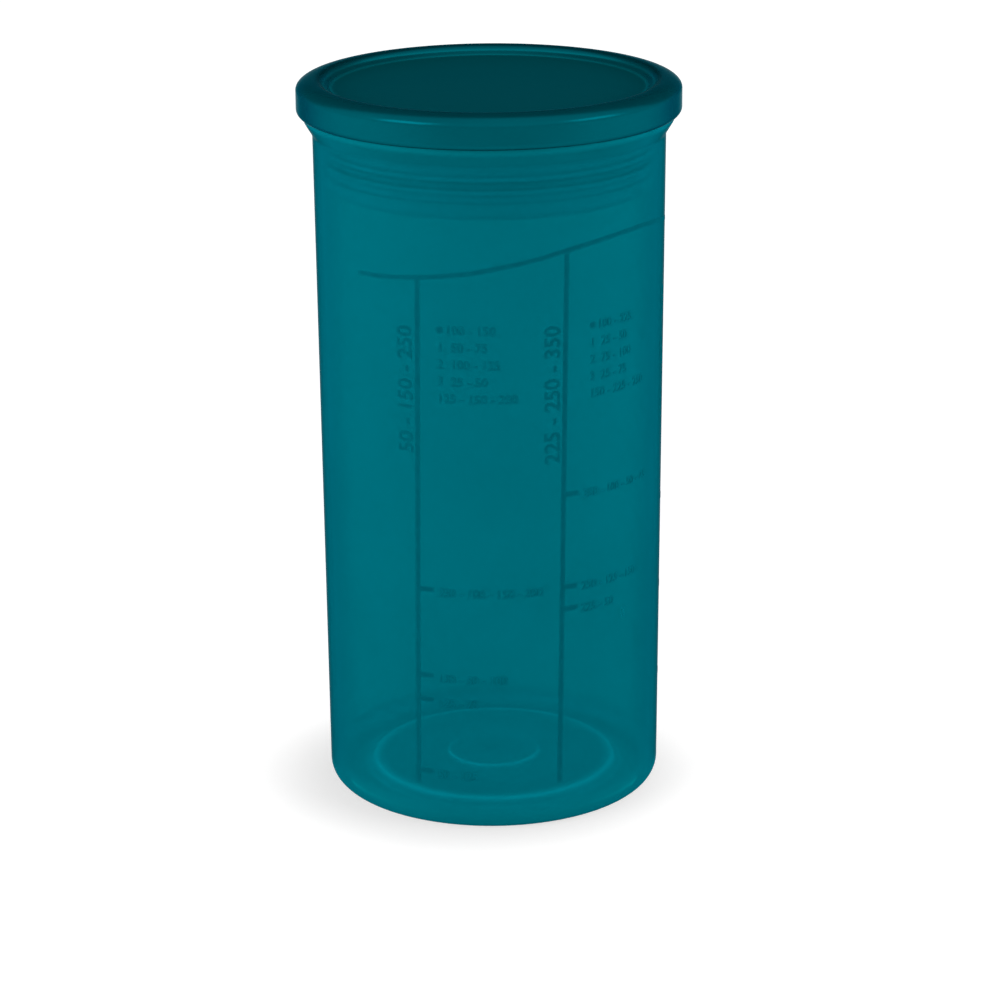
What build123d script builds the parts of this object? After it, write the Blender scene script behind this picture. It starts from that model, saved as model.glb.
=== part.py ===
"""Salad dressing shaker: a tall tapered beaker, its push-in lid and the sealing ring on the lid's plug.

All three pieces are turned forms. Each is drawn as half sections on the XZ plane, where the first
coordinate is a radius and the second a height, and revolved about the vertical axis. Sizes are in
millimetres, Z points up and the beaker stands on Z = 0 with its axis on the origin.
"""

import os
from math import atan2, tan

from build123d import *

# Beaker: the conical wall, given by its outer radius at the resting plane and what it gains up to the neck
base_radius = 39.2
draft = 1.2
wall = 1.5
beaker_height = 167.3

# Beaker: the mouth, which flares outward above the neck and ends in an upright rim
flare_width = 2.0
flare_height = 3.3
flare_blend = 2.0
rim_height = 7.0
rim_wall = 1.6
rim_rounding = 0.4

# Beaker: the bottom, whose middle is pushed up from the ring that the beaker stands on
bottom_rounding = 4.2
inner_rounding = 3.0
floor_thickness = 2.2
foot_width = 4.7
push_up = 2.0
push_up_run = 1.9
pad_radius = 10.8
pad_height = 0.9
pad_run = 0.5
floor_rounding = 0.5

# Lid: the crowned ring around the rim
rim_gap = 0.3
skirt_wall = 1.3
skirt_rounding_share = 0.92
skirt_to_flare = 1.3
channel_rounding = 0.5
crest_over_rim = 2.0
crown_rise = 2.3
crest_to_edge = 1.95

# Lid: the sunk panel inside the ring, each radius given by its inset from the plug below
edge_inset = 0.55
edge_drop = 1.1
panel_inset = 2.35
panel_drop = 2.0
panel_thickness = 1.8
panel_rounding = 0.4

# Lid: the hollow plug that goes into the mouth, with a groove for the sealing ring
plug_gap = 0.65
plug_wall = 1.6
plug_chamfer = 1.4
plug_rounding = 0.8
groove_under_rim = 10.3
groove_height = 8.6
groove_depth = 2.0
collar_height = 3.8

# Sealing ring: a soft band with lips that wipe the inside of the beaker
ring_play = 0.05
band_thickness = 1.05
lip_gap = 0.3
lip_count = 2
lip_pitch = 2.95
first_lip = 2.45
lip_root = 1.5
lip_tip = 0.9
lip_rise = 0.25

# How far a cutting profile runs past the face that it opens
overrun = 1.0

rim_foot = beaker_height - rim_height
neck_height = rim_foot - flare_height
neck_radius = base_radius + draft
rim_radius = neck_radius + flare_width


def inner_radius_at(height):
    """Inner radius of the beaker's conical wall at a height above the resting plane."""
    return base_radius + draft * height / neck_height - wall


def outline(*corners):
    """Draws a closed outline through (radius, height, corner rounding) corners."""
    points = [(radius, height) for radius, height, _ in corners]
    FilletPolyline(*points, radius=[rounding for _, _, rounding in corners], close=True)


# Beaker
flare_shift = wall * tan(atan2(flare_width, flare_height) / 2)
foot_inner_radius = base_radius - bottom_rounding - foot_width
floor_top = floor_thickness + push_up
pad_top = floor_top + pad_height
pad_foot = pad_radius + pad_run
push_up_radius = foot_inner_radius - push_up_run

with BuildPart() as beaker:
    with BuildSketch(Plane.XZ):
        with BuildLine():
            outline(
                (0, 0, 0),
                (base_radius, 0, bottom_rounding),
                (neck_radius, neck_height, flare_blend),
                (rim_radius, rim_foot, flare_blend),
                (rim_radius, beaker_height, 0),
                (0, beaker_height, 0),
            )
        make_face()
    revolve(axis=Axis.Z)

    # The inside: a conical bore over a floor whose middle and centre pad stand proud
    with BuildSketch(Plane.XZ):
        with BuildLine():
            outline(
                (0, pad_top, 0),
                (pad_radius, pad_top, floor_rounding),
                (pad_foot, floor_top, 0),
                (push_up_radius, floor_top, floor_rounding),
                (foot_inner_radius, floor_thickness, floor_rounding),
                (inner_radius_at(floor_thickness), floor_thickness, inner_rounding),
                (neck_radius - wall, neck_height + flare_shift, flare_blend),
                (rim_radius - rim_wall, rim_foot + flare_shift, flare_blend),
                (rim_radius - rim_wall, beaker_height + overrun, 0),
                (0, beaker_height + overrun, 0),
            )
        make_face()
    revolve(axis=Axis.Z, mode=Mode.SUBTRACT)

    # The underside follows the floor at an even thickness
    with BuildSketch(Plane.XZ):
        with BuildLine():
            outline(
                (0, -overrun, 0),
                (foot_inner_radius, -overrun, 0),
                (foot_inner_radius, 0, 0),
                (push_up_radius, push_up, floor_rounding),
                (pad_foot, push_up, 0),
                (pad_radius, push_up + pad_height, 0),
                (0, push_up + pad_height, 0),
            )
        make_face()
    revolve(axis=Axis.Z, mode=Mode.SUBTRACT)

    fillet(beaker.edges().group_by(Axis.Z)[-1], rim_rounding)

# Lid
lid_bore = rim_radius + rim_gap
lid_radius = lid_bore + skirt_wall
skirt_bottom = rim_foot + skirt_to_flare
groove_top = beaker_height - groove_under_rim
groove_bottom = groove_top - groove_height
plug_bottom = groove_bottom - collar_height
plug_radius = inner_radius_at(plug_bottom) - plug_gap
groove_radius = plug_radius - groove_depth
crest_height = beaker_height + crest_over_rim
shoulder_height = crest_height - crown_rise
edge_radius = plug_radius - edge_inset
crest_radius = edge_radius + crest_to_edge
panel_radius = plug_radius - panel_inset
panel_top = crest_height - panel_drop
panel_under = panel_top - panel_thickness

with BuildPart() as lid:
    # The crown is a flat ellipse from the skirt up to the crest, then an arc down to the panel's edge
    with BuildSketch(Plane.XZ) as crown_section:
        with BuildLine():
            crown = EllipticalCenterArc(
                (crest_radius, shoulder_height), lid_radius - crest_radius, crown_rise
            )
            fall = TangentArc(
                crown @ 1, (edge_radius, crest_height - edge_drop), tangent=(-1, 0)
            )
            Polyline(
                fall @ 1,
                (panel_radius, panel_top),
                (0, panel_top),
                (0, skirt_bottom),
                (lid_radius, skirt_bottom),
                crown @ 0,
            )
        make_face()
        skirt_corner = crown_section.vertices().group_by(Axis.Y)[0].sort_by(Axis.X)[-1]
        fillet(skirt_corner, skirt_wall * skirt_rounding_share)
        panel_corner = crown_section.vertices().sort_by_distance((panel_radius, panel_top))[0]
        fillet(panel_corner, panel_rounding)
    revolve(axis=Axis.Z)

    # The plug
    with BuildSketch(Plane.XZ) as plug_section:
        with BuildLine():
            Polyline(
                (0, plug_bottom),
                (plug_radius - plug_chamfer, plug_bottom),
                (plug_radius, plug_bottom + plug_chamfer),
                (plug_radius, panel_top),
                (0, panel_top),
                close=True,
            )
        make_face()
    revolve(axis=Axis.Z)

    # The channel that the beaker's rim stands in
    with BuildSketch(Plane.XZ):
        with BuildLine():
            outline(
                (plug_radius, skirt_bottom - overrun, 0),
                (lid_bore, skirt_bottom - overrun, 0),
                (lid_bore, beaker_height, channel_rounding),
                (plug_radius, beaker_height, channel_rounding),
            )
        make_face()
    revolve(axis=Axis.Z, mode=Mode.SUBTRACT)

    # The groove for the sealing ring
    with BuildSketch(Plane.XZ):
        with BuildLine():
            Polyline(
                (groove_radius, groove_bottom),
                (plug_radius + overrun, groove_bottom),
                (plug_radius + overrun, groove_top),
                (groove_radius, groove_top),
                close=True,
            )
        make_face()
    revolve(axis=Axis.Z, mode=Mode.SUBTRACT)

    # The hollow of the plug keeps an even wall above and behind the groove
    with BuildSketch(Plane.XZ):
        with BuildLine():
            outline(
                (0, plug_bottom - overrun, 0),
                (groove_radius - plug_wall, plug_bottom - overrun, 0),
                (groove_radius - plug_wall, groove_top + plug_wall, plug_rounding),
                (plug_radius - plug_wall, groove_top + plug_wall, plug_rounding),
                (plug_radius - plug_wall, panel_under, plug_rounding),
                (0, panel_under, 0),
            )
        make_face()
    revolve(axis=Axis.Z, mode=Mode.SUBTRACT)

# Sealing ring
ring_bottom = groove_bottom + ring_play
ring_top = groove_top - ring_play
band_inner = groove_radius + ring_play
band_outer = band_inner + band_thickness
lip_radius = inner_radius_at(ring_bottom) - lip_gap

with BuildPart() as sealing_ring:
    with BuildSketch(Plane.XZ):
        with BuildLine():
            Polyline(
                (band_inner, ring_bottom),
                (band_outer, ring_bottom),
                (band_outer, ring_top),
                (band_inner, ring_top),
                close=True,
            )
        make_face()
        # Each lip tapers toward its tip and leans upward
        for lip in range(lip_count):
            root_height = ring_bottom + first_lip + lip * lip_pitch
            with BuildLine():
                Polyline(
                    (band_inner, root_height - lip_root / 2),
                    (band_outer, root_height - lip_root / 2),
                    (lip_radius, root_height + lip_rise - lip_tip / 2),
                    (lip_radius, root_height + lip_rise + lip_tip / 2),
                    (band_outer, root_height + lip_root / 2),
                    (band_inner, root_height + lip_root / 2),
                    close=True,
                )
            make_face()
    revolve(axis=Axis.Z)

beaker.part.label = "beaker"
lid.part.label = "lid"
sealing_ring.part.label = "sealing_ring"

os.makedirs("parts", exist_ok=True)
export_step(beaker.part, "parts/beaker.step")
export_step(lid.part, "parts/lid.step")
export_step(sealing_ring.part, "parts/sealing_ring.step")
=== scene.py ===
"""Looks of the salad dressing shaker: three turned pieces, print on the wall, studio and camera.

Profile sizes are in millimetres, as (radius, height) from the axis and the resting plane, and every
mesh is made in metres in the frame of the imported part.
"""

from math import acos, asin, atan2, ceil, cos, degrees, exp, hypot, pi, radians, sin, tan

import bpy
from mathutils import Matrix, Vector


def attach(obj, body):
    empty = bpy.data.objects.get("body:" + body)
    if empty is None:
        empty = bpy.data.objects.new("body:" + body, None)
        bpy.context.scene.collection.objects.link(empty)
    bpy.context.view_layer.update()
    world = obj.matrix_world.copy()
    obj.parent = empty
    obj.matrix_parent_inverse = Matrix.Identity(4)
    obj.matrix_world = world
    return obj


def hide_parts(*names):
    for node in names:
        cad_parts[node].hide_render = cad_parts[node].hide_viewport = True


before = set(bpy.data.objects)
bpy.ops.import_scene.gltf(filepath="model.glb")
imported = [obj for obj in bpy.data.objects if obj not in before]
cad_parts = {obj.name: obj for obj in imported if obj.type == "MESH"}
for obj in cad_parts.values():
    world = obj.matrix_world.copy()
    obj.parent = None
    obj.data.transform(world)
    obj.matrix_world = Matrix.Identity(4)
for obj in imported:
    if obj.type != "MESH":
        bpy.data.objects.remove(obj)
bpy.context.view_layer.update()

MM = 0.001
SEGMENTS = 192

# Beaker: the conical wall, the flare above its neck and the upright rim
BASE_RADIUS = 39.2
DRAFT = 1.2
WALL = 1.5
HEIGHT = 167.3
RIM_HEIGHT = 7.0
RIM_WALL = 1.6
RIM_ROUNDING = 0.4
FLARE_WIDTH = 2.0
FLARE_HEIGHT = 3.3
FLARE_BLEND = 2.0
RIM_FOOT = HEIGHT - RIM_HEIGHT
NECK_HEIGHT = RIM_FOOT - FLARE_HEIGHT
NECK_RADIUS = BASE_RADIUS + DRAFT
RIM_RADIUS = NECK_RADIUS + FLARE_WIDTH
RIM_INNER = RIM_RADIUS - RIM_WALL
FLARE_SHIFT = WALL * tan(atan2(FLARE_WIDTH, FLARE_HEIGHT) / 2)

# Beaker: the bottom, pushed up inside the ring that it stands on, with a small centre pad
BOTTOM_ROUNDING = 4.2
INNER_ROUNDING = 3.0
STEP_ROUNDING = 0.5
FOOT_EDGE = 0.35
PAD_EDGE = 0.3
FLOOR = 2.2
PUSH_UP = 2.0
FLOOR_TOP = FLOOR + PUSH_UP
FOOT_INNER = 30.3
PUSH_UP_RADIUS = 28.4
PAD_RADIUS = 10.8
PAD_FOOT = 11.3
PAD_HEIGHT = 0.9


def outer_radius(z):
    """Outer radius of the beaker's wall at a height."""
    return BASE_RADIUS + DRAFT * z / NECK_HEIGHT


# Lid: the hollow plug, with a groove for the sealing ring
PLUG_GAP = 0.65
PLUG_WALL = 1.6
PLUG_CHAMFER = 1.4
HOLLOW_ROUNDING = 0.8
HOLLOW_EDGE = 0.25
CHAMFER_EDGE = 0.3
GROOVE_EDGE = 0.15
GROOVE_UNDER_RIM = 10.3
GROOVE_SPAN = 8.6
GROOVE_DEPTH = 2.0
COLLAR_HEIGHT = 3.8
GROOVE_TOP = HEIGHT - GROOVE_UNDER_RIM
GROOVE_BOTTOM = GROOVE_TOP - GROOVE_SPAN
PLUG_BOTTOM = GROOVE_BOTTOM - COLLAR_HEIGHT
PLUG_RADIUS = outer_radius(PLUG_BOTTOM) - WALL - PLUG_GAP
GROOVE_RADIUS = PLUG_RADIUS - GROOVE_DEPTH

# Lid: the crowned ring around the rim, and the sunk panel inside it
RIM_GAP = 0.3
SKIRT_WALL = 1.3
SKIRT_ROUNDING = SKIRT_WALL * 0.92
SKIRT_TO_FLARE = 1.3
CHANNEL_ROUNDING = 0.5
CREST_OVER_RIM = 2.0
CROWN_RISE = 2.3
CREST_TO_EDGE = 1.95
EDGE_INSET = 0.55
EDGE_DROP = 1.1
PANEL_INSET = 2.35
PANEL_DROP = 2.0
PANEL_THICKNESS = 1.8
PANEL_ROUNDING = 0.4
CREST = HEIGHT + CREST_OVER_RIM
SHOULDER = CREST - CROWN_RISE
EDGE_RADIUS = PLUG_RADIUS - EDGE_INSET
CREST_RADIUS = EDGE_RADIUS + CREST_TO_EDGE
PANEL_RADIUS = PLUG_RADIUS - PANEL_INSET
PANEL_TOP = CREST - PANEL_DROP
PANEL_UNDER = PANEL_TOP - PANEL_THICKNESS
LID_BORE = RIM_RADIUS + RIM_GAP
LID_RADIUS = LID_BORE + SKIRT_WALL
SKIRT_BOTTOM = RIM_FOOT + SKIRT_TO_FLARE

# Sealing ring: a band with two lips, which lean upward
RING_PLAY = 0.05
BAND_THICKNESS = 1.05
LIP_GAP = 0.3
LIP_COUNT = 2
LIP_PITCH = 2.95
FIRST_LIP = 2.45
HALF_ROOT = 0.75
HALF_TIP = 0.45
LIP_RISE = 0.25
ROOT_EDGE = 0.15
TIP_EDGE = 0.2
BAND_EDGE = 0.2
BACK_EDGE = 0.1
RING_BOTTOM = GROOVE_BOTTOM + RING_PLAY
RING_TOP = GROOVE_TOP - RING_PLAY
BAND_INNER = GROOVE_RADIUS + RING_PLAY
BAND_OUTER = BAND_INNER + BAND_THICKNESS
LIP_RADIUS = outer_radius(RING_BOTTOM) - WALL - LIP_GAP


# Turned meshes

# Nearer to the axis than this a point is on it
ON_AXIS = 1e-6
# A run shorter than SHORT_RUN times the nearest ring stays whole, and the rings near an end stay
# within the share NEAR_END of the run
SHORT_RUN = 2.5
NEAR_END = 0.45


def placed(name, data):
    """A new object in the scene."""
    obj = bpy.data.objects.new(name, data)
    bpy.context.scene.collection.objects.link(obj)
    return obj


def rounded(corners, step=7.5):
    """Points along a line of (radius, height, rounding) corners, each rounding as an arc.

    An arc has a point every step degrees. A point carries True where the surface has a sharp edge.
    """
    made = []
    for k, (r, z, rounding) in enumerate(corners):
        if not rounding:
            made.append((r, z, True))
            continue
        here = Vector((r, z))
        back = (Vector(corners[k - 1][:2]) - here).normalized()
        on = (Vector(corners[(k + 1) % len(corners)][:2]) - here).normalized()
        half = acos(max(-1.0, min(1.0, back.dot(on)))) / 2
        reach = rounding / tan(half)
        centre = here + (back + on).normalized() * (rounding / sin(half))
        first = here + back * reach - centre
        turn = pi - 2 * half
        if back.x * on.y - back.y * on.x > 0:
            turn = -turn
        steps = max(2, ceil(degrees(abs(turn)) / step))
        for i in range(steps + 1):
            a = turn * i / steps
            x = centre.x + first.x * cos(a) - first.y * sin(a)
            y = centre.y + first.x * sin(a) + first.y * cos(a)
            made.append((x, y, False))
    return made


def arc(radius, height, wide, tall, start, end, steps):
    """Points along part of an ellipse around (radius, height), between two angles from level."""
    angles = [start + (end - start) * i / steps for i in range(steps + 1)]
    return [(radius + wide * cos(a), height + tall * sin(a), False) for a in angles]


def divided(points, longest=6.0, near=(0.3, 0.7, 1.3, 2.2)):
    """The points with rings added on long straight runs: a few near each end, and some between."""
    made = []
    for (r0, z0, sharp), (r1, z1, _) in zip(points, points[1:] + points[:1]):
        made.append((r0, z0, sharp))
        run = hypot(r1 - r0, z1 - z0)
        along_axis = r0 == 0 and r1 == 0
        if along_axis or run < SHORT_RUN * near[0]:
            continue
        ends = [d for d in near if d < NEAR_END * run]
        inner = run - 2 * ends[-1]
        parts = ceil(inner / longest)
        between = [ends[-1] + inner * i / parts for i in range(1, parts)]
        for d in ends + between + [run - d for d in ends[::-1]]:
            made.append((r0 + (r1 - r0) * d / run, z0 + (z1 - z0) * d / run, False))
    return made


def turned(name, points):
    """A mesh turned about the axis from a closed line of points that runs against the clock."""
    verts, rings, sharp = [], [], []
    for r, z, edge in points:
        if r < ON_AXIS:
            rings.append([len(verts)])
            verts.append((0, 0, z * MM))
        else:
            rings.append(range(len(verts), len(verts) + SEGMENTS))
            for k in range(SEGMENTS):
                a = 2 * pi * k / SEGMENTS
                verts.append((r * MM * sin(a), -r * MM * cos(a), z * MM))
            sharp.append((rings[-1], edge))
    faces = []
    for one, two in zip(rings, rings[1:] + rings[:1]):
        if len(one) == 1 and len(two) == 1:
            continue
        for k in range(SEGMENTS):
            m = (k + 1) % SEGMENTS
            if len(one) == 1:
                faces.append((one[0], two[m], two[k]))
            elif len(two) == 1:
                faces.append((one[k], one[m], two[0]))
            else:
                faces.append((one[k], one[m], two[m], two[k]))
    mesh = bpy.data.meshes.new(name)
    mesh.from_pydata(verts, [], faces)
    mesh.shade_smooth()
    hard = set()
    for ring, edge in sharp:
        if edge:
            hard.update((ring[k], ring[(k + 1) % SEGMENTS]) for k in range(SEGMENTS))
    for e in mesh.edges:
        a, b = e.vertices
        if (a, b) in hard or (b, a) in hard:
            e.use_edge_sharp = True
    return placed(name, mesh)


def clouds(*places):
    """A soft patch of a strength around each (radius, height, reach, strength) place."""
    return lambda r, z: min(
        1.0,
        sum(
            strength * exp(-((r - r0) ** 2 + (z - z0) ** 2) / reach**2)
            for r0, z0, reach, strength in places
        ),
    )


def mark(obj, name, share):
    """Writes an attribute of a turned mesh from a share that depends on radius and height."""
    layer = obj.data.attributes.new(name, "FLOAT", "POINT")
    for v in obj.data.vertices:
        layer.data[v.index].value = share(hypot(v.co.x, v.co.y) / MM, v.co.z / MM)


# Beaker

beaker_line = rounded(
    [
        (0, PUSH_UP + PAD_HEIGHT, 0),
        (PAD_RADIUS, PUSH_UP + PAD_HEIGHT, PAD_EDGE),
        (PAD_FOOT, PUSH_UP, PAD_EDGE),
        (PUSH_UP_RADIUS, PUSH_UP, STEP_ROUNDING),
        (FOOT_INNER, 0, FOOT_EDGE),
        (BASE_RADIUS, 0, BOTTOM_ROUNDING),
        (NECK_RADIUS, NECK_HEIGHT, FLARE_BLEND),
        (RIM_RADIUS, RIM_FOOT, FLARE_BLEND),
        (RIM_RADIUS, HEIGHT, RIM_ROUNDING),
        (RIM_INNER, HEIGHT, RIM_ROUNDING),
        (RIM_INNER, RIM_FOOT + FLARE_SHIFT, FLARE_BLEND),
        (NECK_RADIUS - WALL, NECK_HEIGHT + FLARE_SHIFT, FLARE_BLEND),
        (outer_radius(FLOOR) - WALL, FLOOR, INNER_ROUNDING),
        (FOOT_INNER, FLOOR, STEP_ROUNDING),
        (PUSH_UP_RADIUS, FLOOR_TOP, STEP_ROUNDING),
        (PAD_FOOT, FLOOR_TOP, PAD_EDGE),
        (PAD_RADIUS, FLOOR_TOP + PAD_HEIGHT, STEP_ROUNDING),
        (0, FLOOR_TOP + PAD_HEIGHT, 0),
    ]
)
beaker = turned("beaker_shell", divided(beaker_line))

# Milkier and lighter in colour on the floor, along its steps, on the inner rounding and at the
# flare. The lighter colour is painted highlight along the steps, the pad's edge, the inner rounding
# and the flare, and painted light over the floor, which the lid shades
HAZE_AND_PAINTED_LIGHT = (
    (PUSH_UP_RADIUS + 0.35, FLOOR_TOP - 0.1, 0.7, 0.65),
    (PUSH_UP_RADIUS - 0.7, FLOOR_TOP, 0.9, 0.36),
    (FOOT_INNER, FLOOR, 0.35, 0.3),
    (PAD_RADIUS, FLOOR_TOP + PAD_HEIGHT, 0.4, 0.6),
    (RIM_RADIUS, RIM_FOOT + 0.9, 1.0, 0.08),
    (NECK_RADIUS + 1.0, NECK_HEIGHT + 1.7, 1.3, 0.03),
    (5.0, FLOOR_TOP, 9.0, 0.32),
    (18.0, FLOOR_TOP, 9.0, 0.32),
    (30.0, FLOOR, 5.0, 0.28),
    (36.4, 3.6, 1.6, 0.26),
    (36.5, 5.4, 1.5, 0.36),
    (BASE_RADIUS - 0.6, 1.2, 1.6, 0.025),
)
# Hard to see through where it is thick
SOLID = (
    (BASE_RADIUS, 3.4, 1.5, 0.8),
    (BASE_RADIUS - 1.0, 1.0, 2.6, 1.2),
    (BASE_RADIUS - 5.0, 0.0, 3.5, 1.0),
    (RIM_RADIUS, RIM_FOOT + 0.9, 1.2, 0.3),
)
# The wall's inner face starts above the inner rounding and ends below the flare
INSIDE_FOOT = 5.2
INSIDE_FADE = 2.2
INSIDE_TOP = NECK_HEIGHT - 1


def inside(r, z):
    """1 on the inner face of the wall, which adds nothing to the look of the outer one."""
    risen = min(1.0, max(0.0, (z - INSIDE_FOOT) / INSIDE_FADE))
    return risen * float(z < INSIDE_TOP and r < outer_radius(z) - WALL / 2)


mark(beaker, "haze_and_painted_light", clouds(*HAZE_AND_PAINTED_LIGHT))
mark(beaker, "solid", clouds(*SOLID))
mark(beaker, "inside", inside)

# Lid: the crown is a flat ellipse up to the crest, then an arc down to the panel's edge

fall_run = CREST_RADIUS - EDGE_RADIUS
fall_radius = (fall_run**2 + EDGE_DROP**2) / (2 * EDGE_DROP)
fall_turn = asin(fall_run / fall_radius)
crown = arc(CREST_RADIUS, SHOULDER, LID_RADIUS - CREST_RADIUS, CROWN_RISE, 0, pi / 2, 16)
fall = arc(
    CREST_RADIUS, CREST - fall_radius, fall_radius, fall_radius, pi / 2, pi / 2 + fall_turn, 8
)
under_side = rounded(
    [
        (0, PANEL_UNDER, 0),
        (PLUG_RADIUS - PLUG_WALL, PANEL_UNDER, HOLLOW_ROUNDING),
        (PLUG_RADIUS - PLUG_WALL, GROOVE_TOP + PLUG_WALL, HOLLOW_ROUNDING),
        (GROOVE_RADIUS - PLUG_WALL, GROOVE_TOP + PLUG_WALL, HOLLOW_ROUNDING),
        (GROOVE_RADIUS - PLUG_WALL, PLUG_BOTTOM, HOLLOW_EDGE),
        (PLUG_RADIUS - PLUG_CHAMFER, PLUG_BOTTOM, CHAMFER_EDGE),
        (PLUG_RADIUS, PLUG_BOTTOM + PLUG_CHAMFER, CHAMFER_EDGE),
        (PLUG_RADIUS, GROOVE_BOTTOM, GROOVE_EDGE),
        (GROOVE_RADIUS, GROOVE_BOTTOM, 0),
        (GROOVE_RADIUS, GROOVE_TOP, 0),
        (PLUG_RADIUS, GROOVE_TOP, GROOVE_EDGE),
        (PLUG_RADIUS, HEIGHT, CHANNEL_ROUNDING),
        (LID_BORE, HEIGHT, CHANNEL_ROUNDING),
        (LID_BORE, SKIRT_BOTTOM, 0),
        (LID_RADIUS, SKIRT_BOTTOM, SKIRT_ROUNDING),
        (LID_RADIUS, SHOULDER, 0),
    ]
)
panel = rounded(
    [
        (EDGE_RADIUS, CREST - EDGE_DROP, 0),
        (PANEL_RADIUS, PANEL_TOP, PANEL_ROUNDING),
        (0, PANEL_TOP, 0),
    ]
)
# Each part starts where the one before it ends
lid = turned("lid_shell", divided(under_side[:-1] + crown + fall[1:] + panel[1:], longest=3.0))

# Matt on the sunk panel; painted shade darkens the crest, painted highlight lightens the panel's
# edge, and painted light lightens the plug's collar, which lies in shade inside the wall
MATT = ((35.2, PANEL_TOP, 1.2, 0.6), *((r, PANEL_TOP, 2.6, 0.75) for r in range(0, 34, 3)))
CREST_PAINTED_SHADE = (38.8, CREST - 0.33, 0.65, 0.9)
PAINTED_EDGE_HIGHLIGHTS = (
    (EDGE_RADIUS, CREST - EDGE_DROP, 0.3, 0.6),
    (PANEL_RADIUS, PANEL_TOP, 0.4, 1.0),
)
COLLAR_TOP = GROOVE_BOTTOM + 0.01
COLLAR_INNER = PLUG_RADIUS - 2.5
mark(lid, "matt", clouds(*MATT))
mark(lid, "crest", clouds(CREST_PAINTED_SHADE))
mark(lid, "edge", clouds(*PAINTED_EDGE_HIGHLIGHTS))
mark(lid, "collar", lambda r, z: float(z < COLLAR_TOP and r > COLLAR_INNER))

# Sealing ring

lip_roots = [RING_BOTTOM + FIRST_LIP + k * LIP_PITCH for k in range(LIP_COUNT)]
ring_corners = [(BAND_INNER, RING_BOTTOM, BACK_EDGE), (BAND_OUTER, RING_BOTTOM, BAND_EDGE)]
for root in lip_roots:
    ring_corners += [
        (BAND_OUTER, root - HALF_ROOT, ROOT_EDGE),
        (LIP_RADIUS, root + LIP_RISE - HALF_TIP, TIP_EDGE),
        (LIP_RADIUS, root + LIP_RISE + HALF_TIP, TIP_EDGE),
        (BAND_OUTER, root + HALF_ROOT, ROOT_EDGE),
    ]
ring_corners += [(BAND_OUTER, RING_TOP, BAND_EDGE), (BAND_INNER, RING_TOP, BACK_EDGE)]
ring_line = divided(rounded(ring_corners, step=20), longest=0.4, near=(0.1, 0.25))
ring = turned("sealing_ring_soft", ring_line)

# Painted shade, darker on top of each lip and on the band under and between the lips, where the
# lips shade it
lower_lip, upper_lip = lip_roots
mark(ring, "painted_lip_shade", clouds(
    (BAND_OUTER + 0.3, upper_lip + HALF_ROOT, 0.35, 0.45),
    (BAND_OUTER + 0.9, upper_lip + HALF_ROOT, 0.35, 0.45),
    (BAND_OUTER, upper_lip - 0.8, 0.32, 1.0),
    (BAND_OUTER, upper_lip - 1.45, 0.50, 0.35),
    (BAND_OUTER + 0.3, lower_lip + HALF_ROOT, 0.35, 1.0),
    (BAND_OUTER + 0.9, lower_lip + HALF_ROOT, 0.35, 1.0),
    (BAND_OUTER, lower_lip - 0.8, 0.30, 0.5),
))


# Print on the wall

INK_OUT = 0.045
INK_IN = -0.02
DOT_SIDES = 16


def on_wall(turn, z, lift):
    """A point lifted off the wall, in metres. The turn is in degrees from the front."""
    r = outer_radius(z) + lift
    a = radians(turn)
    return (r * MM * sin(a), -r * MM * cos(a), z * MM)


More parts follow.
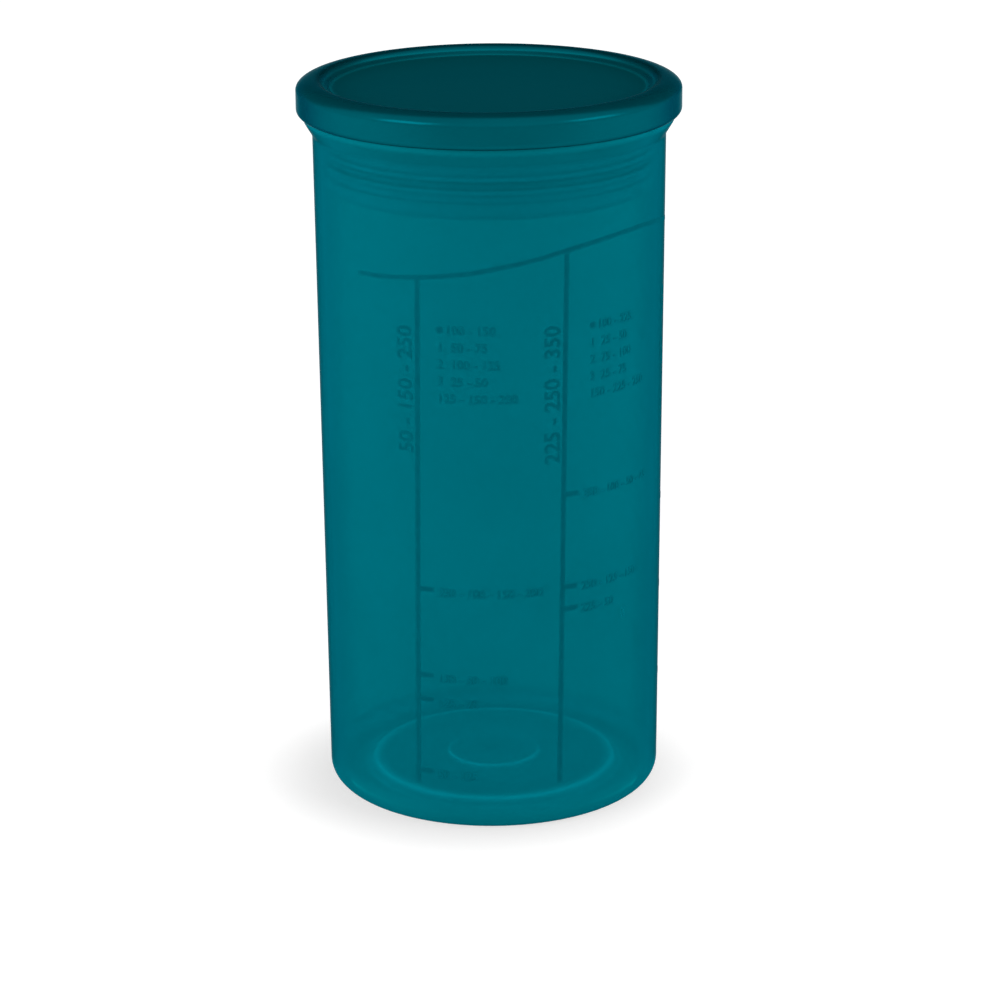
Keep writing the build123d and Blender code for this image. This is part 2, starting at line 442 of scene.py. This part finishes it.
class Ink:
    """Collects thin closed slabs of ink bent onto the wall and makes one mesh of them."""

    def __init__(self):
        self.verts, self.faces = [], []

    def stroke(self, line, width, closest=0.9):
        """A stroke of even width along (turn, height) points, in pieces no longer than closest."""
        flat = [(radians(t) * outer_radius(z), z) for t, z in line]
        fine = [flat[0]]
        for (s0, z0), (s1, z1) in zip(flat, flat[1:]):
            parts = max(1, ceil(hypot(s1 - s0, z1 - z0) / closest))
            for i in range(1, parts + 1):
                fine.append((s0 + (s1 - s0) * i / parts, z0 + (z1 - z0) * i / parts))
        first = len(self.verts)
        for k, (s, z) in enumerate(fine):
            s0, z0 = fine[max(0, k - 1)]
            s1, z1 = fine[min(len(fine) - 1, k + 1)]
            run = hypot(s1 - s0, z1 - z0)
            across = -(z1 - z0) / run * width / 2
            upward = (s1 - s0) / run * width / 2
            for side, lift in ((1, INK_OUT), (-1, INK_OUT), (-1, INK_IN), (1, INK_IN)):
                turn = degrees((s + side * across) / outer_radius(z))
                self.verts.append(on_wall(turn, z + side * upward, lift))
        for k in range(len(fine) - 1):
            a = first + 4 * k
            for j in range(4):
                m = (j + 1) % 4
                self.faces.append((a + j, a + m, a + 4 + m, a + 4 + j))
        last = first + 4 * (len(fine) - 1)
        self.faces.append((first + 3, first + 2, first + 1, first))
        self.faces.append((last, last + 1, last + 2, last + 3))

    def bar(self, turn, z, length, width):
        """A level bar that starts at (turn, height) and runs to the right."""
        self.stroke([(turn, z), (turn + degrees(length / outer_radius(z)), z)], width)

    def dot(self, turn, z, radius):
        """A round dot."""
        first = len(self.verts)
        for lift in (INK_OUT, INK_IN):
            for k in range(DOT_SIDES):
                a = 2 * pi * k / DOT_SIDES
                across = degrees(radius * cos(a) / outer_radius(z))
                self.verts.append(on_wall(turn + across, z + radius * sin(a), lift))
        under = first + DOT_SIDES
        self.faces.append(tuple(range(first, under)))
        self.faces.append(tuple(range(under + DOT_SIDES - 1, under - 1, -1)))
        for k in range(DOT_SIDES):
            m = (k + 1) % DOT_SIDES
            self.faces.append((under + k, under + m, first + m, first + k))

    def number(self, text, turn, z, size, sideways=False):
        """Digits and dashes in Blender's own font, from the left end of their base line."""
        curve = bpy.data.curves.new("digits", "FONT")
        curve.body = text
        curve.extrude = 0.5
        curve.offset = 0.012
        curve.resolution_u = 3
        helper = bpy.data.objects.new("digits", curve)
        mesh = bpy.data.meshes.new_from_object(helper)
        first = len(self.verts)
        for v in mesh.vertices:
            x, y = v.co.x * size, v.co.y * size
            if sideways:
                x, y = -y, x
            lift = INK_OUT if v.co.z > 0 else INK_IN
            self.verts.append(on_wall(turn + degrees(x / outer_radius(z)), z + y, lift))
        self.faces += [tuple(first + i for i in p.vertices) for p in mesh.polygons]
        bpy.data.objects.remove(helper)
        bpy.data.curves.remove(curve)
        bpy.data.meshes.remove(mesh)

    def made(self, name):
        """The mesh object of all that was collected."""
        mesh = bpy.data.meshes.new(name)
        mesh.from_pydata(self.verts, [], self.faces)
        mesh.validate()
        return placed(name, mesh)


# The wave and the upright lines under it, as (turn, height) points
WAVE_WIDTH = 0.95
WAVE = (
    (-46.7, 130.8), (-37.4, 131.0), (-29.7, 131.4), (-23.6, 131.9), (-15.9, 132.5), (-9.5, 133.1),
    (-3.2, 133.8), (3.1, 134.7), (9.4, 135.5), (15.8, 136.4), (23.2, 137.5), (29.5, 138.2),
    (37.2, 138.9), (45.9, 139.5), (56.6, 139.6), (67.9, 139.0), (78.0, 137.9), (88.0, 136.6),
    (98.0, 135.4),
)
LINE_WIDTH = 1.05
LINES = {
    "a": ((-23.7, 131.6), (-26.4, 10.9)),
    "b": ((24.85, 137.0), (22.75, 11.1)),
    "c": ((83.4, 137.2), (81.9, 11.1)),
}

# The tick marks, each with its row of plain numbers
TICK_LENGTH = 3.8
TICK_WIDTH = 1.1
TICK_TO_ROW = 7.2
TICK_DROP = 1.4
TICK_NUMBER_SIZE = 2.8
TICKS = (
    ("a", 58.9, "250 - 100 - 150 - 200"),
    ("a", 37.9, "150 - 50 - 100"),
    ("a", 32.0, "125 - 75"),
    ("a", 14.15, "50 - 125"),
    ("b", 81.0, "350 - 100 - 50 - 75"),
    ("b", 58.9, "250 - 125 - 150"),
    ("b", 53.55, "225 - 50"),
    ("c", 69.9, "300 - 100 - 75"),
    ("c", 48.0, "200 - 50 - 150"),
    ("c", 26.0, "100 - 25"),
)

# By each line, a larger row of numbers runs up it and a block of small rows starts with a dot.
# Each entry gives the line, the larger row and its foot, the block's top and turn, and its rows.
HEADING_SIZE = 5.15
HEADING_MIDDLE = 106
HEADING_TURN = -1.9
DOT_RADIUS = 0.75
DOT_TURN = 0.8
AFTER_DOT = 2.7
ROW_SIZE = 2.9
ROW_PITCH = 3.95
ROW_DROP = 1.0
ROW_LEAN = 0.05
BLOCKS = (
    (
        "a", "50 - 150 - 250", 90.9, 120.3, -17.2,
        ("100 - 150", "1  50 - 75", "2  100 - 125", "3  25 - 50", "125 - 150 - 200"),
    ),
    (
        "b", "225 - 250 - 350", 88.6, 119.7, 33.7,
        ("100 - 225", "1  25 - 50", "2  75 - 100", "3  25 - 75", "150 - 225 - 250"),
    ),
    (
        "c", "100 - 200 - 300", 90.0, 119.2, 92.4,
        ("100 - 200", "1  50 - 100", "2  25 - 50", "3  75 - 100", "200 - 250 - 300"),
    ),
)


def line_at(name, z):
    """The turn of an upright line at a height."""
    (t0, z0), (t1, z1) = LINES[name]
    return t0 + (t1 - t0) * (z - z0) / (z1 - z0)


scales, marks, rows = Ink(), Ink(), Ink()
scales.stroke(WAVE, WAVE_WIDTH)
for line in LINES.values():
    scales.stroke(line, LINE_WIDTH, closest=4.0)
for name, z, label in TICKS:
    turn = line_at(name, z)
    scales.bar(turn, z, TICK_LENGTH, TICK_WIDTH)
    marks.number(label, turn + TICK_TO_ROW, z - TICK_DROP, TICK_NUMBER_SIZE)
for name, heading, foot, top, turn, texts in BLOCKS:
    for k, text in enumerate(texts):
        z = top - ROW_PITCH * k
        start = turn - ROW_LEAN * k
        if k == 0:
            rows.dot(start + DOT_TURN, z, DOT_RADIUS)
            start += AFTER_DOT
        rows.number(text, start, z - ROW_DROP, ROW_SIZE)
    heading_turn = line_at(name, HEADING_MIDDLE) + HEADING_TURN
    rows.number(heading, heading_turn, foot, HEADING_SIZE, sideways=True)

print_scales = scales.made("print_scales")
print_numbers = marks.made("print_numbers")
print_rows = rows.made("print_rows")


# Nodes


def node(tree, kind, **settings):
    """A new shader node with its settings."""
    made = tree.nodes.new("ShaderNode" + kind)
    for key, value in settings.items():
        setattr(made, key, value)
    return made


def give(tree, socket, value):
    """Links an output to an input, or sets the input to a constant."""
    if isinstance(value, bpy.types.NodeSocket):
        tree.links.new(value, socket)
    else:
        socket.default_value = value


def combined(tree, operation, one, two):
    """Two values in one math operation."""
    made = node(tree, "Math", operation=operation)
    tree.links.new(one, made.inputs[0])
    tree.links.new(two, made.inputs[1])
    return made.outputs[0]


def spanned(tree, value, low, high, to_low=0.0, to_high=1.0, smooth=False):
    """A value mapped from one range to another, and kept inside it."""
    made = node(tree, "MapRange", interpolation_type="SMOOTHSTEP" if smooth else "LINEAR")
    tree.links.new(value, made.inputs["Value"])
    made.inputs["From Min"].default_value = low
    made.inputs["From Max"].default_value = high
    made.inputs["To Min"].default_value = to_low
    made.inputs["To Max"].default_value = to_high
    return made.outputs["Result"]


def blended(tree, share, one, two, colour=False):
    """One number or colour turned into another by a share."""
    made = node(tree, "Mix", data_type="RGBA" if colour else "FLOAT")
    # The node's two numbers are its inputs 2 and 3, and its two colours 6 and 7
    first = 6 if colour else 2
    tree.links.new(share, made.inputs["Factor"])
    give(tree, made.inputs[first], one)
    give(tree, made.inputs[first + 1], two)
    return made.outputs[2 if colour else 0]


def shader_mix(tree, share, one, two):
    """One shader turned into another by a share."""
    made = node(tree, "MixShader")
    tree.links.new(share, made.inputs["Fac"])
    tree.links.new(one, made.inputs[1])
    tree.links.new(two, made.inputs[2])
    return made.outputs[0]


def attribute(tree, name):
    """The value of a mesh attribute."""
    return node(tree, "Attribute", attribute_name=name).outputs["Fac"]


# Materials

BUMP_DEPTH = 0.0001
CLOUD_EDGES = (0.35, 0.65)
# How far a face is turned away, from 0 to 1, where the wall is seen along and at its outline
SEEN_ALONG = (0.42, 0.74)
AT_OUTLINE = (0.70, 0.86)
OUTLINE_SHARE = 0.6


def plastic(name, colour, deep, scale, rough, span, bump=0, bump_scale=0, **constants):
    """A moulded material: cloudy colour between two tones, uneven gloss and a fine bump.

    The scale is that of the clouds, and the roughness lies within the span of its middle.
    """
    mat = bpy.data.materials.new(name)
    mat.use_nodes = True
    tree = mat.node_tree
    shader = tree.nodes["Principled BSDF"]
    place = node(tree, "TexCoord").outputs["Object"]

    def noise(size, detail):
        made = node(tree, "TexNoise")
        made.inputs["Scale"].default_value = size
        made.inputs["Detail"].default_value = detail
        tree.links.new(place, made.inputs["Vector"])
        return made.outputs["Fac"]

    ramp = node(tree, "ValToRGB")
    for element, position, tone in zip(ramp.color_ramp.elements, CLOUD_EDGES, (deep, colour)):
        element.position = position
        element.color = tone
    tree.links.new(noise(scale, 3.0), ramp.inputs["Fac"])
    tree.links.new(ramp.outputs["Color"], shader.inputs["Base Color"])

    uneven = spanned(tree, noise(scale * 4, 4.0), 0.0, 1.0, rough - span, rough + span)
    tree.links.new(uneven, shader.inputs["Roughness"])

    if bump:
        relief = node(tree, "Bump")
        relief.inputs["Strength"].default_value = bump
        relief.inputs["Distance"].default_value = BUMP_DEPTH
        tree.links.new(noise(bump_scale, 2.0), relief.inputs["Height"])
        tree.links.new(relief.outputs["Normal"], shader.inputs["Normal"])
    for key, value in constants.items():
        shader.inputs[key.replace("_", " ")].default_value = value
    return mat


def toned(mat, name, colour, **finish):
    """Blends a material to another colour and finish where an attribute of the mesh says so."""
    tree = mat.node_tree
    shader = tree.nodes["Principled BSDF"]
    share = attribute(tree, name)
    base = shader.inputs["Base Color"]
    tone = blended(tree, share, base.links[0].from_socket, colour, colour=True)
    tree.links.new(tone, base)
    for key, value in finish.items():
        socket = shader.inputs[key]
        plain = socket.links[0].from_socket if socket.is_linked else socket.default_value
        tree.links.new(blended(tree, share, plain, value), socket)


def see_through(mat, opacity, tint, long_tint, milky_and_painted_light_colour, passing_tint):
    """Lets a material show what is behind it, tinted.

    It is milkier where the wall is seen along, and milkier and lighter in colour where the mesh
    says so, which is painted highlight and painted light. It is darker at its outline, where the
    way through the plastic is longest. Light from the lamps and from other surfaces goes through it
    and loses little, so that the inside is lit.
    """
    tree = mat.node_tree
    shader = tree.nodes["Principled BSDF"]
    # The haze attribute paints highlights and light: it lightens the colour towards the milky one
    toned(mat, "haze_and_painted_light", milky_and_painted_light_colour)

    haze_and_painted_light, solid, inner = (attribute(tree, name) for name in ("haze_and_painted_light", "solid", "inside"))
    facing = node(tree, "LayerWeight").outputs["Facing"]
    steep = spanned(tree, facing, *SEEN_ALONG, smooth=True)
    thin = spanned(tree, solid, 0, 1, 1.0, 0.0)
    outline = combined(tree, "MULTIPLY", spanned(tree, facing, *AT_OUTLINE), thin)
    milky = combined(tree, "MAXIMUM", steep, combined(tree, "MAXIMUM", haze_and_painted_light, solid))
    share = spanned(tree, milky, 0, 1, opacity, 1.0)
    share = combined(tree, "MULTIPLY", share, spanned(tree, outline, 0, 1, 1.0, OUTLINE_SHARE))
    share = combined(tree, "MULTIPLY", share, spanned(tree, inner, 0, 1, 1.0, 0.0))
    film = node(tree, "BsdfTransparent")
    film_tint = blended(tree, outline, tint, long_tint, colour=True)
    tree.links.new(film_tint, film.inputs["Color"])
    seen_by_eye = shader_mix(tree, share, film.outputs[0], shader.outputs[0])

    rays = node(tree, "LightPath").outputs
    passing = combined(tree, "MAXIMUM", rays["Is Shadow Ray"], rays["Is Diffuse Ray"])
    clear = node(tree, "BsdfTransparent")
    clear.inputs["Color"].default_value = passing_tint
    surface = shader_mix(tree, passing, seen_by_eye, clear.outputs[0])
    tree.links.new(surface, tree.nodes["Material Output"].inputs["Surface"])


beaker_plastic = plastic(
    "beaker_clear",
    colour=(0.0, 0.144, 0.187, 1),
    deep=(0.0, 0.135, 0.175, 1),
    scale=30,
    rough=0.10,
    span=0.03,
    Metallic=0.18,
    Specular_IOR_Level=0.0,
    Specular_Tint=(0.0, 0.3, 0.4, 1),
)
see_through(
    beaker_plastic,
    opacity=0.70,
    tint=(0.0, 0.80, 0.84, 1),
    long_tint=(0.0, 0.09, 0.12, 1),
    milky_and_painted_light_colour=(0.0, 0.85, 1.0, 1),
    passing_tint=(0.90, 0.90, 0.90, 1),
)

lid_plastic = plastic(
    "lid_moulded",
    colour=(0.0, 0.099, 0.127, 1),
    deep=(0.0, 0.091, 0.118, 1),
    scale=40,
    rough=0.21,
    span=0.04,
    bump=0.2,
    bump_scale=2600,
    Metallic=0.5,
    Specular_IOR_Level=0.0,
    Specular_Tint=(0.0, 0.2, 0.25, 1),
)
toned(lid_plastic, "matt", (0.0, 0.122, 0.148, 1), Roughness=0.36)
# Painted shade on the crest
toned(lid_plastic, "crest", (0.0, 0.042, 0.055, 1), Roughness=0.3)
# Painted highlight along the panel's edges
toned(lid_plastic, "edge", (0.0, 0.19, 0.23, 1), Roughness=0.3)
# Painted light on the plug's collar, which lies in the wall's shade
toned(lid_plastic, "collar", (0.0, 0.25, 0.31, 1), Roughness=0.4, Metallic=0.1)

seal_rubber = plastic(
    "seal_soft",
    colour=(0.0, 0.26, 0.33, 1),
    deep=(0.0, 0.23, 0.30, 1),
    scale=60,
    rough=0.6,
    span=0.06,
    bump=0.3,
    bump_scale=1800,
    Metallic=0.05,
    Specular_IOR_Level=0.0,
    Specular_Tint=(0.0, 0.3, 0.4, 1),
)
# Painted shade on and between the lips
toned(seal_rubber, "painted_lip_shade", (0.0, 0.03, 0.045, 1), Roughness=0.7)

ink = plastic(
    "print_ink",
    colour=(0.0, 0.115, 0.152, 1),
    deep=(0.0, 0.103, 0.138, 1),
    scale=400,
    rough=0.5,
    span=0.05,
    bump=0.1,
    bump_scale=3000,
    Specular_IOR_Level=0.0,
)

for piece, body, nodes, slot, material in (
    (beaker, "beaker", ["beaker"], "beaker_plastic", beaker_plastic),
    (lid, "lid", ["lid"], "lid_plastic", lid_plastic),
    (ring, "lid", ["sealing_ring"], "seal_rubber", seal_rubber),
    (print_scales, "beaker", [], None, ink),
    (print_numbers, "beaker", [], None, ink),
    (print_rows, "beaker", [], None, ink),
):
    piece.data.materials.append(material)
    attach(piece, body)
    if nodes:
        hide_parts(*nodes)


# Studio


def seen(tree, rays):
    """1 for rays that show a background: from the camera, in gloss and through glass."""
    both = combined(tree, "MAXIMUM", rays["Is Camera Ray"], rays["Is Glossy Ray"])
    return combined(tree, "MAXIMUM", both, rays["Is Transmission Ray"])


# The world is white to the eye. It gives more light from its walls than from its ceiling, and gloss
# sees a dim backdrop over the horizon behind the object.
WALL_LIGHT = 0.85
CEILING_LIGHT = 0.05
BACKDROP_RISE = (0.14, 0.30)
BACKDROP_DEPTH = (0.35, 0.55)
BACKDROP_LEVEL = 0.05
world = bpy.data.worlds.new("studio")
bpy.context.scene.world = world
world.use_nodes = True
tree = world.node_tree
rays = node(tree, "LightPath").outputs
way = node(tree, "SeparateXYZ")
tree.links.new(node(tree, "TexCoord").outputs["Generated"], way.inputs[0])
light = spanned(tree, way.outputs["Z"], 0.0, 1.0, WALL_LIGHT, CEILING_LIGHT)
high = spanned(tree, way.outputs["Z"], *BACKDROP_RISE)
behind = spanned(tree, way.outputs["Y"], *BACKDROP_DEPTH)
backdrop = combined(tree, "MULTIPLY", high, behind)
gloss = spanned(tree, backdrop, 0.0, 1.0, 1.0, BACKDROP_LEVEL)
shown = blended(tree, rays["Is Glossy Ray"], 1.0, gloss)
background = tree.nodes["Background"]
background.inputs["Color"].default_value = (1, 1, 1, 1)
tree.links.new(blended(tree, seen(tree, rays), light, shown), background.inputs["Strength"])

# The floor is pale paper, and a glow lifts it to white to the eye: less near the object, where its
# shadow stays and the lower glow paints a soft shadow around the base, and dimmer in gloss towards
# the front
FLOOR_REACH = 4
FRONT_RUN = (-0.8, 0.1)
FRONT_LEVEL = 0.36
PAINTED_SHADOW_CENTRE = (-0.004, -0.003, 0)
PAPER = (0.82, 0.82, 0.82, 1)
GLOW_AND_PAINTED_SHADOW_BY_DISTANCE = ((0.036, 0.27), (0.043, 0.355), (0.054, 0.51), (0.2, 0.54), (0.9, 0.74))
floor_corners = ((-1, -1), (1, -1), (1, 1), (-1, 1))
floor_mesh = bpy.data.meshes.new("floor")
floor_mesh.from_pydata(
    [(x * FLOOR_REACH, y * FLOOR_REACH, 0) for x, y in floor_corners], [], [(0, 1, 2, 3)]
)
floor = placed("floor", floor_mesh)
# The floor's origin is the centre of the painted shadow, a little off the object's axis
floor.location = PAINTED_SHADOW_CENTRE
floor_mat = bpy.data.materials.new("floor_paper")
floor_mat.use_nodes = True
tree = floor_mat.node_tree
tree.nodes.remove(tree.nodes["Principled BSDF"])
rays = node(tree, "LightPath").outputs
place = node(tree, "TexCoord").outputs["Object"]
distance = node(tree, "VectorMath", operation="LENGTH")
tree.links.new(place, distance.inputs[0])
far = node(tree, "ValToRGB")
while len(far.color_ramp.elements) < len(GLOW_AND_PAINTED_SHADOW_BY_DISTANCE):
    far.color_ramp.elements.new(0.5)
for element, (position, grey) in zip(far.color_ramp.elements, GLOW_AND_PAINTED_SHADOW_BY_DISTANCE):
    element.position = position
    element.color = (grey, grey, grey, 1)
tree.links.new(distance.outputs["Value"], far.inputs["Fac"])
ground = node(tree, "SeparateXYZ")
tree.links.new(place, ground.inputs[0])
front = spanned(tree, ground.outputs["Y"], *FRONT_RUN, FRONT_LEVEL, 1.0)
dimmed = blended(tree, rays["Is Glossy Ray"], 1.0, front)
strength = combined(tree, "MULTIPLY", seen(tree, rays), far.outputs["Color"])
strength = combined(tree, "MULTIPLY", strength, dimmed)
glow = node(tree, "Emission")
tree.links.new(strength, glow.inputs["Strength"])
paper = node(tree, "BsdfDiffuse")
paper.inputs["Color"].default_value = PAPER
both = node(tree, "AddShader")
tree.links.new(paper.outputs[0], both.inputs[0])
tree.links.new(glow.outputs[0], both.inputs[1])
tree.links.new(both.outputs[0], tree.nodes["Material Output"].inputs["Surface"])
floor_mesh.materials.append(floor_mat)


def softbox(name, place, towards, width, height, radiance, in_gloss=True):
    """An area lamp of a given radiance, where 1 is white, hidden from the camera."""
    lamp = bpy.data.lights.new(name, "AREA")
    lamp.shape = "RECTANGLE"
    lamp.size = width
    lamp.size_y = height
    lamp.energy = radiance * width * height * pi
    obj = placed(name, lamp)
    obj.location = place
    obj.rotation_euler = (Vector(towards) - Vector(place)).to_track_quat("-Z", "Y").to_euler()
    obj.visible_camera = False
    obj.visible_glossy = in_gloss


# The side boxes and the fills only light the object, and the two front boxes show in its gloss too
MIDDLE = (0, 0, 0.165)
softbox("left_box", (-1.0, -0.05, 0.305), (0, -0.02, 0.15), 1.43, 0.59, 1.25, in_gloss=False)
softbox("right_box", (1.0, 0.07, 0.305), (0, 0.03, 0.15), 1.43, 0.59, 1.45, in_gloss=False)
softbox("front_left_box", (-0.62, -0.51, 0.48), MIDDLE, 0.44, 0.52, 2.5)
softbox("front_left_fill", (-0.65, -0.47, 0.49), MIDDLE, 0.58, 0.52, 1.27, in_gloss=False)
softbox("front_right_box", (0.73, -0.33, 0.48), MIDDLE, 0.44, 0.46, 2.05)
softbox("front_right_fill", (0.73, -0.33, 0.48), MIDDLE, 0.58, 0.46, 1.35, in_gloss=False)

# Camera, fitted to the outline in the photograph, with angles in radians and lens in millimetres
PITCH, YAW, ROLL = 0.3169, 0.0024, -0.0068
CAMERA_PLACE = (0, -0.79029, 0.32718)
LENS = 126.744
SENSOR = 36
ahead = Vector((sin(YAW) * cos(PITCH), cos(YAW) * cos(PITCH), -sin(PITCH)))
level_right = Vector((cos(YAW), -sin(YAW), 0))
level_up = level_right.cross(ahead)
right = level_right * cos(ROLL) + level_up * sin(ROLL)
up = level_up * cos(ROLL) - level_right * sin(ROLL)
cam_data = bpy.data.cameras.new("camera")
cam_data.sensor_width = SENSOR
cam_data.lens = LENS
cam_data.clip_start = 0.05
camera = placed("camera", cam_data)
camera.matrix_world = Matrix.Translation(CAMERA_PLACE) @ Matrix(
    (
        (right.x, up.x, -ahead.x, 0),
        (right.y, up.y, -ahead.y, 0),
        (right.z, up.z, -ahead.z, 0),
        (0, 0, 0, 1),
    )
)
bpy.context.scene.camera = camera
bpy.context.scene.view_settings.view_transform = "Standard"
